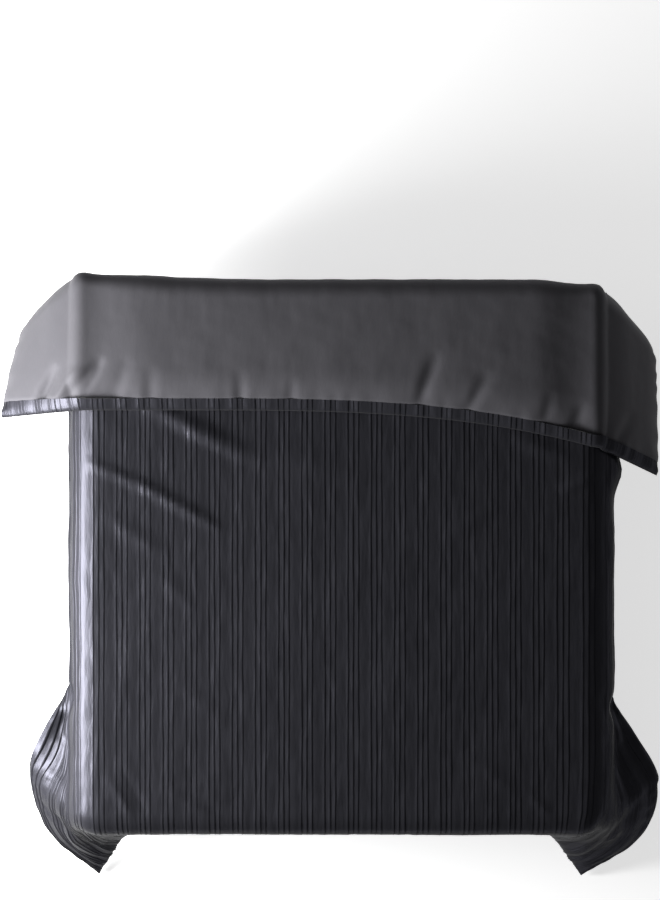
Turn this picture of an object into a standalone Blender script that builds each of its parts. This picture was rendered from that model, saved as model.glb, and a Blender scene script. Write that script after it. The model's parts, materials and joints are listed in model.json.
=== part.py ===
"""A duvet lying on a bed: tucked cover face, plain reverse, channelled insert and a foot zip.

Every layer is cut flat, on one grid, and then laid over the bed by the same drape. The flat
coordinates are u, across the duvet from its middle, and a row coordinate q along it:
0 to 1 the turned-back flap, 1 to 2 the fold, 2 to 3 the body, 3 to 4 the bend over the foot of
the mattress and 4 to 5 the foot drop. X runs across the bed, Y to its head and Z up, with the
origin on the mattress, under the middle of the body.
"""
import math

import bmesh
import bpy
import numpy as np

# Cover and bed, in metres
COVER_WIDTH = 2.00
COVER_LENGTH = 2.20
MATTRESS_WIDTH = 1.40
MATTRESS_FOOT_Y = -0.745
LOFT = 0.045
COVER_WALL = 0.002
TICKING_WALL = 0.001
GAP = 0.0003

# How the duvet lies
FOLD_Y = 0.6865
FOLD_SLACK = 0.0035
FLAP_LENGTH = 0.3085
FLAP_SKEW = 0.0765
FLAP_SKEW_FROM = -0.40
FOLD_RISE = 0.030
FOLD_RISE_SPAN = 0.58
FOLD_RISE_FROM = -0.10
MATTRESS_CLEARANCE = 0.006
EDGE_RADIUS = 0.035

# Rounded edges
EDGE_ROLL = 0.090
FOLD_SQUEEZE = 0.30
SQUEEZE_REACH = 0.08
SQUEEZE_PAST_EDGE = 0.06
SQUEEZE_ROW = 1.6
SQUEEZE_ROW_REACH = 0.5
INSERT_INSET = 0.020
QUILTING_LINE = 0.24
QUILTING_GAP = 0.001
FILLING_GAP = 0.00045

# Zip, ties and label
ZIP_LENGTH = 0.90
ZIP_HALF_OPENING = 0.006
ZIP_SPAN = 0.48
TAPE_WALL = 0.0006
TAPE_HEIGHT = 0.012
TEETH_WIDTH = 0.0022
TEETH_HEIGHT = 0.0018
STOP_LENGTH = 0.004
SLIDER_LENGTH = 0.010
SLIDER_WALL = 0.0009
PIN_RADIUS = 0.0006
EYE_RADIUS = 0.0017
PIN_DROP = 0.0026
PULL_LENGTH = 0.026
PULL_WIDTH = 0.0075
PULL_WALL = 0.0014
CHANNELS = 8
TIE_LENGTH = 0.0110
TIE_WIDTH = 0.0060
LOOP_LENGTH = 0.0040
LABEL_LENGTH = 0.030
LABEL_WIDTH = 0.009
LABEL_FROM_HEM = 0.10
RIBBON_FROM_HEM = 0.004
RIBBON_WALL = 0.0008

# Side seams: how far they swing from plumb, as fractions of the overhang, at rows along the bed
SEAM_SWING = {
    -1: ((0.0, 0.54, -0.06, 0.27), (0.6, 0.455, -0.22, 0.115), (1.0, 0.40, -0.45, 0.02),
         (1.5, 0.305, -0.355, 0.0), (2.0, 0.13, -0.34, 0.02), (2.1, 0.01, -0.10, 0.0),
         (2.3, 0.0, 0.0, 0.0), (2.6, 0.0, 0.0, 0.0), (2.75, 0.02, 0.0, 0.0),
         (2.88, 0.25, 0.10, 0.01), (3.0, 0.51, 0.24, 0.085), (3.14, 0.39, 0.32, -0.10),
         (3.27, -0.08, 0.465, -0.445)),
    1: ((0.0, 0.39, -0.265, 0.145), (0.6, 0.38, -0.425, 0.13), (1.0, 0.37, -0.56, 0.105),
        (1.5, 0.31, -0.40, 0.03), (2.0, 0.15, -0.28, 0.03), (2.1, 0.01, -0.07, 0.0),
        (2.3, 0.0, 0.0, 0.0), (2.6, 0.0, 0.0, 0.0), (2.75, 0.02, 0.0, 0.0),
        (2.88, 0.30, 0.105, 0.01), (3.0, 0.60, 0.19, 0.10), (3.14, 0.48, 0.29, -0.10),
        (3.27, -0.04, 0.45, -0.445)),
}
# Foot corner: how the hem leaves the plumb foot drop at the mattress corner, same fractions
FOOT_SWING = (-0.21, -0.28, -0.075)
SEAM_EASE = 0.15
# Steps that measure the cloth's slope, in u and in rows
STEP_ACROSS = 0.012
STEP_ALONG = 0.001

# Worked out from the sizes above
HALF_WIDTH = COVER_WIDTH / 2
HALF_LOFT = LOFT / 2
MIDDLE_REACH = MATTRESS_CLEARANCE + HALF_LOFT
BEND_X = MATTRESS_WIDTH / 2 + MIDDLE_REACH - EDGE_RADIUS
BEND_Y = MATTRESS_FOOT_Y - MIDDLE_REACH + EDGE_RADIUS
FOLD_RADIUS = HALF_LOFT + FOLD_SLACK
QUARTER = EDGE_RADIUS * math.pi / 2
BODY_LENGTH = FOLD_Y - BEND_Y
FOOT_DROP = COVER_LENGTH - FLAP_LENGTH - math.pi * FOLD_RADIUS - BODY_LENGTH - QUARTER
OVERHANG = HALF_WIDTH - BEND_X
HEM_Y = BEND_Y - EDGE_RADIUS
HEM_Z = HALF_LOFT - EDGE_RADIUS - FOOT_DROP
INSERT_EDGE = HALF_WIDTH - INSERT_INSET

# Grid lines that every layer shares
SIDE_LINES = (0.30, 0.52, 0.75)
U_HALF = [0.0, QUILTING_LINE, ZIP_SPAN, BEND_X, BEND_X + 0.0275, BEND_X + QUARTER]
U_HALF += [BEND_X + QUARTER + f * (INSERT_EDGE - BEND_X - QUARTER) for f in SIDE_LINES]
U_HALF += [INSERT_EDGE, HALF_WIDTH]
U_LINES = [-u for u in U_HALF[:0:-1]] + U_HALF
FLAP_LINES = [0.0, 0.05, 0.13, 0.27, 0.60, 1.0]
FOLD_LINES = [1.25, 1.5, 1.75, 2.0]
BODY_LINES = [2.1, 2.3, 2.6, 2.75, 2.88, 3.0]
FOOT_LINES = [3.5, 4.0, 4.3, 4.6, 4.8]
HEM_LINE = 5.0 - INSERT_INSET / FOOT_DROP
Q_LINES = FLAP_LINES + FOLD_LINES + BODY_LINES + FOOT_LINES + [HEM_LINE, 5.0]


def curve_through(knots, values, t):
    """A smooth curve through the values at the knots, by cubic pieces with averaged slopes."""
    knots = np.asarray(knots, float)
    values = np.asarray(values, float)
    t = np.clip(t, knots[0], knots[-1])
    slopes = np.gradient(values, knots, axis=0)
    cell = np.clip(np.searchsorted(knots, t, side="right") - 1, 0, len(knots) - 2)
    width = knots[cell + 1] - knots[cell]
    s = ((t - knots[cell]) / width)[:, None]
    w = width[:, None]
    return ((1 + 2 * s) * (1 - s) ** 2 * values[cell] + s * (1 - s) ** 2 * w * slopes[cell]
            + s * s * (3 - 2 * s) * values[cell + 1] + s * s * (s - 1) * w * slopes[cell + 1])


def ease(f):
    """A weight from 0 to 1 that starts level and then rises in a straight line."""
    return ((np.sqrt(f * f + SEAM_EASE ** 2) - SEAM_EASE)
            / (math.sqrt(1 + SEAM_EASE ** 2) - SEAM_EASE))


def flap_end(u):
    """Y of the flap's end, which runs skew towards one side."""
    return FOLD_Y - FLAP_LENGTH - FLAP_SKEW * np.maximum(u - FLAP_SKEW_FROM, 0) ** 3


def fold_axis(u):
    """Y of the fold's axis, which rises a little at one side."""
    return FOLD_Y + FOLD_RISE * np.maximum((FOLD_RISE_FROM - u) / FOLD_RISE_SPAN, 0) ** 3


def row_line(u, q):
    """Y, Z and height over the lower layer of the duvet's middle, between the two sides."""
    axis = fold_axis(u)
    turn = np.clip(q - 1, 0, 1) * math.pi
    bend = np.clip(q - 3, 0, 1) * math.pi / 2
    y = np.select(
        [q <= 1, q <= 2, q <= 3],
        [flap_end(u) + q * (axis - flap_end(u)), axis + FOLD_RADIUS * np.sin(turn),
         axis + (q - 2) * (BEND_Y - axis)],
        BEND_Y - EDGE_RADIUS * np.sin(bend))
    over = FOLD_RADIUS * (1 + np.cos(turn))
    z = (HALF_LOFT + over - EDGE_RADIUS * (1 - np.cos(bend))
         - FOOT_DROP * np.clip(q - 4, 0, 1))
    return y, z, over


def foot_share(q):
    """How much of the cloth below the foot of the mattress lies above row q, from 0 to 1."""
    length = QUARTER * np.clip(q - 3, 0, 1) + FOOT_DROP * np.clip(q - 4, 0, 1)
    return length / (QUARTER + FOOT_DROP)


def side_panel(side, a, q):
    """The side drop: cloth at a past the bend, rolled over the edge, then swung to its seam."""
    edge = np.full_like(q, side * BEND_X)
    y, z, over = row_line(edge, np.minimum(q, 3.0))
    radius = EDGE_RADIUS + over
    turn = np.minimum(a / radius, math.pi / 2)
    out = radius * np.sin(turn)
    down = radius * (1 - np.cos(turn)) + np.maximum(a - radius * math.pi / 2, 0)
    table = np.asarray(SEAM_SWING[side])
    beyond = foot_share(q) * (QUARTER + FOOT_DROP)
    t = np.minimum(q, 3.0) + foot_share(q) * (table[-1, 0] - 3.0)
    swing = curve_through(table[:, 0], table[:, 1:], t) * OVERHANG
    weight = ease(a / OVERHANG)
    return np.stack([side * (BEND_X + out + weight * swing[:, 0]),
                     y - beyond * weight + weight * swing[:, 1],
                     z - down + weight * swing[:, 2]], axis=1)


def foot_panel(u, q):
    """The top and the foot drop between the sides, with the hem swung out near the corners."""
    y, z, _ = row_line(u, q)
    near = np.clip((np.abs(u) - ZIP_SPAN) / (BEND_X - ZIP_SPAN), 0, 1) ** 1.5
    weight = near * ease(foot_share(q)) * OVERHANG
    return np.stack([u + np.sign(u) * FOOT_SWING[0] * weight,
                     y + FOOT_SWING[1] * weight,
                     z + FOOT_SWING[2] * weight], axis=1)


def corner_panel(side, a, q):
    """The foot corner: a patch blended from the four seams and edges around it."""
    fa = (a / OVERHANG)[:, None]
    fb = foot_share(q)[:, None]
    zero = np.zeros_like(a)
    edge = np.full_like(a, side * BEND_X)
    top, foot = np.full_like(q, 3.0), np.full_like(q, 5.0)
    along_side = side_panel(side, a, top)
    along_foot = foot_panel(edge, q)
    side_seam = side_panel(side, zero + OVERHANG, q)
    corner, widest = side_panel(side, zero, top), side_panel(side, zero + OVERHANG, top)
    low, tip = foot_panel(edge, foot), side_panel(side, zero + OVERHANG, foot)
    foot_seam = low + fa * (tip - low)
    return ((1 - fa) * along_foot + fa * side_seam + (1 - fb) * along_side + fb * foot_seam
            - (1 - fa) * (1 - fb) * corner - fa * (1 - fb) * widest
            - (1 - fa) * fb * low - fa * fb * tip)


def middle(u, q):
    """The duvet's middle surface, as an array of points."""
    points = foot_panel(u, q)
    for side in (-1, 1):
        past = side * u - BEND_X
        drop = (past > 0) & (q <= 3)
        points[drop] = side_panel(side, past[drop], q[drop])
        ear = (past > 0) & (q > 3)
        points[ear] = corner_panel(side, past[ear], q[ear])
    return points


def drape(u, q, height):
    """Lay flat cloth over the bed: its point on the middle surface, raised along the normal."""
    across = (middle(np.minimum(u + STEP_ACROSS, HALF_WIDTH), q)
              - middle(np.maximum(u - STEP_ACROSS, -HALF_WIDTH), q))
    along = (middle(u, np.maximum(q - STEP_ALONG, 0.0))
             - middle(u, np.minimum(q + STEP_ALONG, 5.0)))
    normal = np.cross(across, along)
    normal /= np.linalg.norm(normal, axis=1)[:, None]
    return middle(u, q) + normal * height[:, None]


def seam_distance(u, q):
    """Distance in the cloth to the nearest of the side seams and the two ends."""
    flap = FLAP_LENGTH * q
    foot = FOOT_DROP * (5.0 - q)
    return np.minimum(HALF_WIDTH - np.abs(u), np.minimum(flap, foot))


def loft_height(u, q):
    """Half the made-up thickness: full over the duvet, rolled in at every edge."""
    roll = np.clip(seam_distance(u, q) / EDGE_ROLL, 0, 1)
    seam = COVER_WALL + GAP / 2
    open_share = np.clip((BEND_X - np.abs(u)) / (BEND_X - ZIP_SPAN), 0, 1)
    opening = (ZIP_HALF_OPENING - GAP / 2) * open_share * np.clip(q - HEM_LINE, 0, None)
    seam = seam + opening / (5.0 - HEM_LINE)
    past_edge = (np.abs(u) - BEND_X - SQUEEZE_PAST_EDGE) / SQUEEZE_REACH
    past_fold = (q - SQUEEZE_ROW) / SQUEEZE_ROW_REACH
    squeeze = 1 - FOLD_SQUEEZE * np.exp(-past_edge ** 2 - past_fold ** 2)
    return seam + (HALF_LOFT - seam) * np.sqrt(1 - (1 - roll) ** 2) * squeeze


def insert_height(u, q):
    """Half the insert's thickness: just inside the cover, and closed at its own seam."""
    inside = loft_height(u, q) - COVER_WALL - GAP
    at_seam = (np.abs(u) > INSERT_EDGE - 1e-6) | (q < FLAP_LINES[1] + 1e-6) | (q > HEM_LINE - 1e-6)
    return np.where(at_seam, TICKING_WALL + GAP / 2, inside)


def flat_slab(name, columns, rows):
    """A closed flat slab on the given grid lines, with its faces at z +0.5 and -0.5."""
    bpy.ops.mesh.primitive_grid_add(x_subdivisions=len(columns) - 1,
                                    y_subdivisions=len(rows) - 1, size=2)
    sheet = bpy.context.object
    points = np.empty(len(sheet.data.vertices) * 3)
    sheet.data.vertices.foreach_get("co", points)
    points = points.reshape(-1, 3)
    points[:, 0] = np.asarray(columns)[np.rint((points[:, 0] + 1) * (len(columns) - 1) / 2).astype(int)]
    points[:, 1] = np.asarray(rows)[np.rint((points[:, 1] + 1) * (len(rows) - 1) / 2).astype(int)]
    sheet.data.vertices.foreach_set("co", points.ravel())
    wall = sheet.modifiers.new("wall", "SOLIDIFY")
    wall.thickness = 1.0
    wall.offset = 0.0
    evaluated = sheet.evaluated_get(bpy.context.evaluated_depsgraph_get())
    mesh = bpy.data.meshes.new_from_object(evaluated)
    bpy.data.objects.remove(sheet)
    mesh.name = name
    split_quads(mesh)
    return mesh


def split_quads(mesh):
    """Split every quad along the same flat diagonal, so that layers stay parallel."""
    slab = bmesh.new()
    slab.from_mesh(mesh)
    for face in list(slab.faces):
        corners = sorted(face.verts, key=lambda v: v.co.x + v.co.y + 0.01 * v.co.z)
        bmesh.utils.face_split(face, corners[0], corners[-1])
    slab.to_mesh(mesh)
    slab.free()


def lay(name, columns, rows, upper, lower, colour, roughness=0.8):
    """Make one layer: cut flat, raised between two heights and draped over the bed.

    Its flat rows run from head to foot, so that the slab's upper face is the cover's face.
    """
    mesh = flat_slab(name, columns, [-q for q in reversed(rows)])
    points = np.empty(len(mesh.vertices) * 3)
    mesh.vertices.foreach_get("co", points)
    points = points.reshape(-1, 3)
    u, q = points[:, 0], -points[:, 1]
    height = np.where(points[:, 2] > 0, upper(u, q), lower(u, q))
    mesh.vertices.foreach_set("co", drape(u, q, height).ravel())
    mesh.update()
    return add_part(name, mesh, colour, roughness)


def add_part(name, mesh, colour, roughness=0.8, metallic=0.0):
    """Put a finished mesh in the duvet's collection with its own material."""
    mesh.name = name
    part = bpy.data.objects.new(name, mesh)
    finish = bpy.data.materials.new(name)
    finish.use_nodes = True
    shader = finish.node_tree.nodes["Principled BSDF"]
    shader.inputs["Base Color"].default_value = (*colour, 1.0)
    shader.inputs["Roughness"].default_value = roughness
    shader.inputs["Metallic"].default_value = metallic
    mesh.materials.clear()
    mesh.materials.append(finish)
    bpy.data.collections["duvet"].objects.link(part)
    return part


def box_mesh(low, high):
    """A box between two corners."""
    bpy.ops.mesh.primitive_cube_add(size=1)
    cube = bpy.context.object
    mesh = cube.data
    bpy.data.objects.remove(cube)
    low, high = np.asarray(low), np.asarray(high)
    points = np.empty(len(mesh.vertices) * 3)
    mesh.vertices.foreach_get("co", points)
    points = (low + high) / 2 + points.reshape(-1, 3) * (high - low)
    mesh.vertices.foreach_set("co", points.ravel())
    mesh.update()
    return mesh


def rod_mesh(centre, radius, length):
    """A round rod along Y."""
    bpy.ops.mesh.primitive_cylinder_add(vertices=16, radius=radius, depth=length,
                                        location=centre, rotation=(math.pi / 2, 0, 0))
    rod = bpy.context.object
    mesh = rod.data
    mesh.transform(rod.matrix_world)
    bpy.data.objects.remove(rod)
    return mesh


def combine(meshes, operations):
    """Join or cut the first mesh with the others, one Boolean at a time."""
    body = bpy.data.objects.new("body", meshes[0])
    bpy.data.collections["cutters"].objects.link(body)
    for mesh, operation in zip(meshes[1:], operations):
        tool = bpy.data.objects.new("tool", mesh)
        tool.hide_render = True
        tool.display_type = "WIRE"
        bpy.data.collections["cutters"].objects.link(tool)
        step = body.modifiers.new("step", "BOOLEAN")
        step.operation = operation
        step.object = tool
        done = bpy.data.meshes.new_from_object(
            body.evaluated_get(bpy.context.evaluated_depsgraph_get()))
        body.modifiers.remove(step)
        body.data = done
        bpy.data.objects.remove(tool)
    bpy.data.objects.remove(body)
    return done


def build_cover():
    """The two panels of the cover, which meet at the rolled seams."""
    def inner(u, q):
        return loft_height(u, q) - COVER_WALL

    charcoal, dark = (0.075, 0.073, 0.082), (0.026, 0.026, 0.031)
    lay("cover_face", U_LINES, Q_LINES, loft_height, inner, dark, 0.55)
    lay("cover_reverse", U_LINES, Q_LINES, lambda u, q: -inner(u, q),
        lambda u, q: -loft_height(u, q), charcoal, 0.5)


def build_insert():
    """The insert: two shells with the filling in channels between them."""
    columns = [u for u in U_LINES if abs(u) <= INSERT_EDGE + 1e-9]
    rows = [q for q in Q_LINES if FLAP_LINES[1] <= q <= HEM_LINE]
    white = (0.82, 0.82, 0.80)

    def shell_inner(u, q):
        return insert_height(u, q) - TICKING_WALL

    lay("insert_shell_upper", columns, rows, insert_height, shell_inner, white)
    lay("insert_shell_lower", columns, rows, lambda u, q: -shell_inner(u, q),
        lambda u, q: -insert_height(u, q), white)

    half_quilting = [QUILTING_LINE, ZIP_SPAN, BEND_X, INSERT_EDGE]
    quilting = [-line for line in reversed(half_quilting)] + [0.0] + half_quilting
    fill_rows = rows[1:-1]

    def fill_top(u, q):
        return shell_inner(u, q) - FILLING_GAP

    for number in range(CHANNELS):
        low, high = quilting[number], quilting[number + 1]
        lines = [u for u in columns if low + 1e-6 < u < high - 1e-6]
        first = low + QUILTING_GAP / 2 if low > -INSERT_EDGE else lines.pop(0)
        last = high - QUILTING_GAP / 2 if high < INSERT_EDGE else lines.pop()
        lay(f"filling_channel_{number + 1}", [first] + lines + [last], fill_rows, fill_top,
            lambda u, q: -fill_top(u, q), (0.9, 0.9, 0.88), 0.95)


def build_corners():
    """Ties sewn in the cover's corners, the insert's loops that they hold, and a blank label."""
    ribbon = (0.10, 0.10, 0.11)
    edge = INSERT_EDGE
    head_row = FLAP_LINES[1] + RIBBON_FROM_HEM / FLAP_LENGTH
    foot_row = HEM_LINE - RIBBON_FROM_HEM / FOOT_DROP
    half = RIBBON_WALL / 2
    corners = (("head_left", -1, head_row, FLAP_LENGTH), ("head_right", 1, head_row, FLAP_LENGTH),
               ("foot_left", -1, foot_row, -FOOT_DROP), ("foot_right", 1, foot_row, -FOOT_DROP))

    def ribbon_piece(name, side, start, end, row, width, colour):
        lay(name, sorted((side * start, side * end)), sorted((row, row + width)),
            lambda u, q: half + 0 * u, lambda u, q: -half + 0 * u, colour)

    for corner, side, row, scale in corners:
        loop_end = edge + GAP + LOOP_LENGTH
        ribbon_piece(f"insert_loop_{corner}", side, edge + GAP, loop_end, row,
                     TIE_WIDTH / scale, (0.8, 0.8, 0.78))
        ribbon_piece(f"cover_tie_{corner}", side, loop_end + GAP, loop_end + GAP + TIE_LENGTH,
                     row, TIE_WIDTH / scale, ribbon)
    label_row = foot_row - LABEL_FROM_HEM / FOOT_DROP
    ribbon_piece("care_label", 1, edge + GAP, edge + GAP + LABEL_WIDTH, label_row,
                 LABEL_LENGTH / FOOT_DROP, (0.85, 0.85, 0.85))


def build_zip():
    """The zip that closes the foot hem: tapes, tooth rows, end stops, slider and pull."""
    half = ZIP_LENGTH / 2
    teeth_top = HEM_Z
    teeth_low = teeth_top - TEETH_HEIGHT
    tape_out = ZIP_HALF_OPENING - 2 * GAP
    tape_in = TEETH_WIDTH + GAP
    tape_low = teeth_low + (TEETH_HEIGHT - TAPE_WALL) / 2
    black, steel = (0.02, 0.02, 0.022), (0.35, 0.35, 0.36)
    for name, side in (("upper", -1), ("lower", 1)):
        def across(near, far):
            return sorted((HEM_Y + side * near, HEM_Y + side * far))

        out_y = across(tape_out - TAPE_WALL, tape_out)
        flat_y = across(tape_in, tape_out)
        upright = box_mesh((-half, out_y[0], tape_low), (half, out_y[1], HEM_Z + TAPE_HEIGHT))
        level = box_mesh((-half, flat_y[0], tape_low), (half, flat_y[1], tape_low + TAPE_WALL))
        add_part(f"zip_tape_{name}", combine([upright, level], ["UNION"]), black)
        row_y = across(GAP / 2, TEETH_WIDTH)
        inside = half - STOP_LENGTH - GAP
        add_part(f"zip_teeth_{name}", box_mesh((-inside, row_y[0], teeth_low),
                                               (inside, row_y[1], teeth_top)), black, 0.4)
    for name, side in (("closed_end", 1), ("open_end", -1)):
        ends = sorted((side * half, side * (half - STOP_LENGTH)))
        add_part(f"zip_stop_{name}", box_mesh((ends[0], HEM_Y - TEETH_WIDTH, teeth_low),
                                              (ends[1], HEM_Y + TEETH_WIDTH, teeth_top)),
                 steel, 0.3, 1.0)
    build_slider(half - STOP_LENGTH - GAP, teeth_low, tape_low, steel)


def build_slider(end_x, teeth_low, tape_low, steel):
    """The slider under the closed teeth, with its bail, and the pull that hangs from it."""
    centre_x = end_x - SLIDER_LENGTH / 2
    plate_top = teeth_low - GAP
    plate_low = plate_top - SLIDER_WALL
    half_width = TEETH_WIDTH + GAP + SLIDER_WALL
    long = (centre_x - SLIDER_LENGTH / 2, centre_x + SLIDER_LENGTH / 2)
    pieces = [box_mesh((long[0], HEM_Y - half_width, plate_low),
                       (long[1], HEM_Y + half_width, plate_top))]
    for side in (-1, 1):
        flange = sorted((HEM_Y + side * (TEETH_WIDTH + GAP), HEM_Y + side * half_width))
        pieces.append(box_mesh((long[0], flange[0], plate_low), (long[1], flange[1], tape_low - GAP)))
    pin = (centre_x, HEM_Y, plate_low - PIN_DROP)
    for side in (-1, 1):
        leg = sorted((HEM_Y + side * (half_width - SLIDER_WALL), HEM_Y + side * half_width))
        pieces.append(box_mesh((centre_x - EYE_RADIUS, leg[0], pin[2] - PIN_RADIUS * 2),
                               (centre_x + EYE_RADIUS, leg[1], plate_low + SLIDER_WALL / 2)))
    pieces.append(rod_mesh(pin, PIN_RADIUS, 2 * half_width - SLIDER_WALL))
    add_part("zip_slider", combine(pieces, ["UNION"] * 5), steel, 0.3, 1.0)

    eye_half = half_width - SLIDER_WALL - GAP
    eye = rod_mesh(pin, EYE_RADIUS, 2 * eye_half)
    neck = box_mesh((pin[0] - PULL_WALL / 2, HEM_Y - eye_half, pin[2] - EYE_RADIUS - PIN_DROP),
                    (pin[0] + PULL_WALL / 2, HEM_Y + eye_half, pin[2] - PIN_RADIUS))
    tag = box_mesh((pin[0] - PULL_WALL / 2, HEM_Y - PULL_WIDTH / 2, pin[2] - PULL_LENGTH),
                   (pin[0] + PULL_WALL / 2, HEM_Y + PULL_WIDTH / 2, pin[2] - EYE_RADIUS - GAP * 4))
    hole = rod_mesh(pin, PIN_RADIUS + GAP, 3 * eye_half)
    add_part("zip_pull", combine([eye, neck, tag, hole], ["UNION", "UNION", "DIFFERENCE"]),
             steel, 0.3, 1.0)


def main():
    """Clear the scene and build every piece of the duvet."""
    for old in list(bpy.data.objects):
        bpy.data.objects.remove(old)
    for name in ("duvet", "cutters"):
        group = bpy.data.collections.new(name)
        bpy.context.scene.collection.children.link(group)
    build_cover()
    build_insert()
    build_corners()
    build_zip()


main()
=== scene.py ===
"""A duvet lying on a bed, with its head end turned back.

The cover's face is stitched in fine tucks and its reverse is plain. One analytic drape gives the
duvet's middle surface; a cloth simulation relaxes the parts that hang; and every layer is then
laid on the same relaxed surface at its own height.
"""
from __future__ import annotations

import json
import logging
import math
from dataclasses import dataclass, field
from enum import Enum

import bpy
import numpy as np
from bpy.types import Material, Mesh, NodeSocket, Object
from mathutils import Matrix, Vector

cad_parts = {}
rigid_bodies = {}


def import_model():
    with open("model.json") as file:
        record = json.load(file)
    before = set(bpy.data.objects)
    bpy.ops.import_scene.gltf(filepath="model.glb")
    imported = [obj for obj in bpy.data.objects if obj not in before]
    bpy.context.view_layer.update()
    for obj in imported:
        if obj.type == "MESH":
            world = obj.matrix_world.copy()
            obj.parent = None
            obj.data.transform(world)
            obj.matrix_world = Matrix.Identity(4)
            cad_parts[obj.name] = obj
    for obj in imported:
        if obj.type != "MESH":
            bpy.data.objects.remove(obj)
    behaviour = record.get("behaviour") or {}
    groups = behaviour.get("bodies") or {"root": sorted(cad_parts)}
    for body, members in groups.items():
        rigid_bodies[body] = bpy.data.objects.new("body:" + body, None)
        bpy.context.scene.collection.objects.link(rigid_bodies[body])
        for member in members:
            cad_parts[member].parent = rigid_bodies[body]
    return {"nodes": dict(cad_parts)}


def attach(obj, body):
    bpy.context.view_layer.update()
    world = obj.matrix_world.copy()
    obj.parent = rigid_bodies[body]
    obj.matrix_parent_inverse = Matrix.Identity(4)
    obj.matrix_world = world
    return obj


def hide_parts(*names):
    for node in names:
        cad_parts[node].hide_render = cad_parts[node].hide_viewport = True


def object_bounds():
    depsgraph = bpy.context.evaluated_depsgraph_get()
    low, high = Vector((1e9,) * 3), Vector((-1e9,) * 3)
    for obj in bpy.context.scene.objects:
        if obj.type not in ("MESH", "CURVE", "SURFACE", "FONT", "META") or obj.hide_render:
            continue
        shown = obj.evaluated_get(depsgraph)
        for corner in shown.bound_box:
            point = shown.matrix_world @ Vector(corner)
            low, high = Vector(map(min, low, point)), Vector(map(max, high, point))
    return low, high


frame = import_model()
CAD_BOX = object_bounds()
LOG = logging.getLogger("duvet")
Array = np.ndarray
Ramp = tuple[float, float]
Point = tuple[float, float, float]
Colour = tuple[float, float, float]
Run = tuple[float, float, int]
TURN = 2 * math.pi
BAND_SCALE = 0.314  # a band wave's scale when its bands are a metre apart


class Side(Enum):
    """The two sides of the bed, by the sign of X."""

    LEFT = -1
    RIGHT = 1


@dataclass(frozen=True)
class DuvetSize:
    """The sizes of the cover and of how it lies, in metres, as the frame's solids have them."""

    width: float = 2.00
    length: float = 2.20
    loft: float = 0.045
    mattress_half: float = 0.70
    mattress_foot: float = -0.745
    fold_y: float = 0.6865
    fold_slack: float = 0.0035
    flap: float = 0.3085
    flap_skew: float = 0.0765
    skew_from: float = -0.40
    fold_rise: float = 0.030
    rise_span: float = 0.58
    rise_from: float = -0.10
    clearance: float = 0.006
    edge_radius: float = 0.035
    edge_roll: float = 0.090
    zip_span: float = 0.48
    zip_half_opening: float = 0.008
    head_wrap: float = 0.034
    insert_inset: float = 0.020

    @property
    def half_width(self) -> float:
        """Half the cover's flat width."""
        return self.width / 2

    @property
    def half_loft(self) -> float:
        """Half the made-up thickness."""
        return self.loft / 2

    @property
    def bend_x(self) -> float:
        """Where the middle surface starts to bend over the mattress's side."""
        return self.mattress_half + self.clearance + self.half_loft - self.edge_radius

    @property
    def bend_y(self) -> float:
        """Where it starts to bend over the foot."""
        return self.mattress_foot - self.clearance - self.half_loft + self.edge_radius

    @property
    def fold_radius(self) -> float:
        """Radius of the head fold's middle."""
        return self.half_loft + self.fold_slack

    @property
    def fold_arc(self) -> float:
        """Length of cloth in the head fold."""
        return math.pi * self.fold_radius

    @property
    def quarter(self) -> float:
        """Length of cloth in the bend over an edge of the mattress."""
        return self.edge_radius * math.pi / 2

    @property
    def foot_drop(self) -> float:
        """Length of cloth that hangs straight at the foot."""
        body = self.fold_y - self.bend_y
        return self.length - self.flap - self.fold_arc - body - self.quarter

    @property
    def overhang(self) -> float:
        """Length of cloth past the side bend's start."""
        return self.half_width - self.bend_x


LEAST_GAP = 0.0009
FLOOR_GAP = 0.012
FOOT_ROWS = np.array([0.022, 0.012, 0.005, 0.0])
CONTACT = 0.004
BLOCK_SHRINK = 0.012
GRAVITY_SHARE = 0.6
# The relaxing cloth's settings.
CLOTH = {"quality": 7, "mass": 0.5, "tension_stiffness": 25, "compression_stiffness": 25,
         "shear_stiffness": 12, "bending_stiffness": 12, "air_damping": 4, "pin_stiffness": 8}
# How each side seam lies off the plumb line. A line holds the row, which past 3 runs on to the
# foot hem, and then the shift outwards, towards the head and up, as shares of the overhang.
SEAM_SWING: dict[Side, tuple[tuple[float, float, float, float], ...]] = {
    Side.LEFT: ((0.0, 0.54, -0.06, 0.27), (0.6, 0.455, -0.22, 0.115), (1.0, 0.40, -0.45, 0.02),
                (1.5, 0.305, -0.355, 0.0), (2.0, 0.13, -0.34, 0.02), (2.1, 0.01, -0.10, 0.0),
                (2.3, 0.0, 0.0, 0.0), (2.6, 0.0, 0.0, 0.0), (2.75, 0.05, 0.0, 0.06),
                (2.82, 0.24, 0.04, 0.24), (2.89, 0.38, 0.12, 0.32), (3.0, 0.50, 0.30, 0.20),
                (3.14, 0.36, 0.35, -0.09),
                (3.27, -0.08, 0.465, -0.445)),
    Side.RIGHT: ((0.0, 0.39, -0.265, 0.145), (0.6, 0.38, -0.425, 0.13), (1.0, 0.37, -0.56, 0.105),
                 (1.5, 0.31, -0.40, 0.03), (2.0, 0.15, -0.28, 0.03), (2.1, 0.01, -0.07, 0.0),
                 (2.3, 0.0, 0.0, 0.0), (2.6, 0.0, 0.0, 0.0), (2.75, 0.02, 0.0, 0.0),
                 (2.88, 0.33, 0.10, 0.16), (3.0, 0.60, 0.19, 0.14), (3.14, 0.48, 0.29, -0.09),
                 (3.27, -0.04, 0.45, -0.445)),
}
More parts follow.
